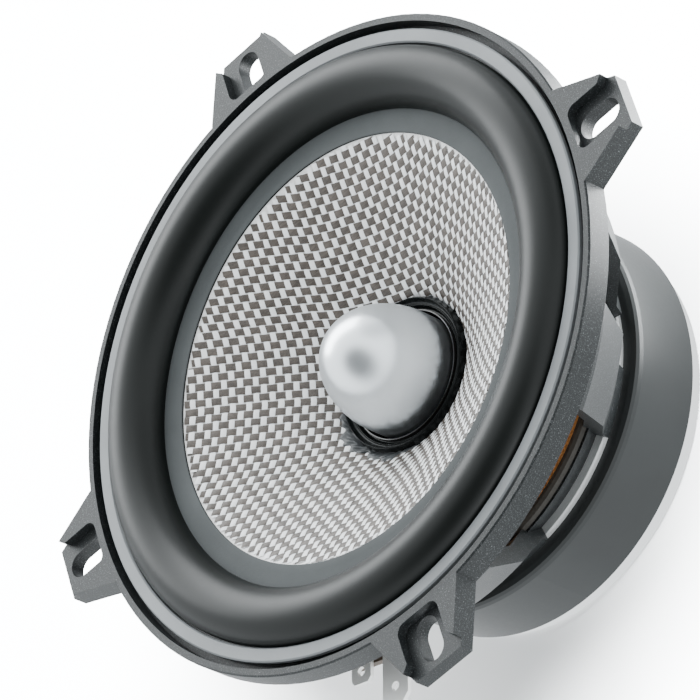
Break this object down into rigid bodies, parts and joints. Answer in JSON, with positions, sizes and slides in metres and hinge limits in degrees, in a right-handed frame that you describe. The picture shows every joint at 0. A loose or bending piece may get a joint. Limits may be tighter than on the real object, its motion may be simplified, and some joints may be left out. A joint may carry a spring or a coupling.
{
  "type": "car mid-bass speaker driver",
  "caption": "Round car speaker driver with an open grey basket, slotted mounting ears, woven cone, rubber surround, bullet-shaped plug and booted magnet.",
  "frame": {"origin": "on the speaker's axis, in the plane of the flange's rear mounting face", "axes": "+Z along the axis, out of the front; the four mounting ears lie on +X, +Y, -X and -Y"},
  "size_m": [0.1524, 0.1524, 0.063],
  "materials": {
    "painted_basket": "fine textured grey powder coat",
    "rubber_surround": "satin moulded rubber",
    "gasket_grey": "smooth moulded ring",
    "cone_brown": "stiff brown sandwich core",
    "woven_glass": "plain-woven white glass threads over a brown core",
    "black_adhesive": "glossy black adhesive",
    "coil_film": "amber film",
    "copper_wire": "enamelled wire",
    "spider_cloth": "resin-stiffened brown cloth",
    "zinc_steel": "zinc-plated steel",
    "ferrite": "sintered ferrite",
    "rubber_boot": "smooth dark grey rubber",
    "bare_steel": "turned steel",
    "satin_aluminium": "satin turned aluminium",
    "board_brown": "dark phenolic board",
    "tinned_tab": "tinned brass",
    "braided_lead": "braided copper tinsel",
    "solder": "solder"
  },
  "bodies": {
    "frame": {"basket": "painted_basket", "surround": "rubber_surround", "gasket_ring": "gasket_grey", "spider": "spider_cloth", "spider_ring": "board_brown", "top_plate": "zinc_steel", "magnet": "ferrite", "magnet_boot": "rubber_boot", "back_plate": "zinc_steel", "pole_piece": "bare_steel", "phase_plug": "satin_aluminium", "plug_bolt": "bare_steel", "basket_rivets": "zinc_steel", "terminal_board": "board_brown", "tab_wide": "tinned_tab", "tab_narrow": "tinned_tab", "terminal_rivets": "zinc_steel", "lead_a": "braided_lead", "lead_b": "braided_lead"},
    "cone": {"cone_body": "cone_brown", "cone_skin": "woven_glass", "neck_adhesive": "black_adhesive", "coil_former": "coil_film", "coil_winding": "copper_wire", "spider_collar": "black_adhesive", "lead_pads": "solder"}
  },
  "joints": [
    {"name": "cone_stroke", "type": "slide", "parent": "frame", "child": "cone", "axis": [0, 0, 1], "range_m": [-0.003, 0.003], "stiffness_N_per_m": 1200, "deforming": ["surround", "spider", "lead_a", "lead_b"]}
  ]
}
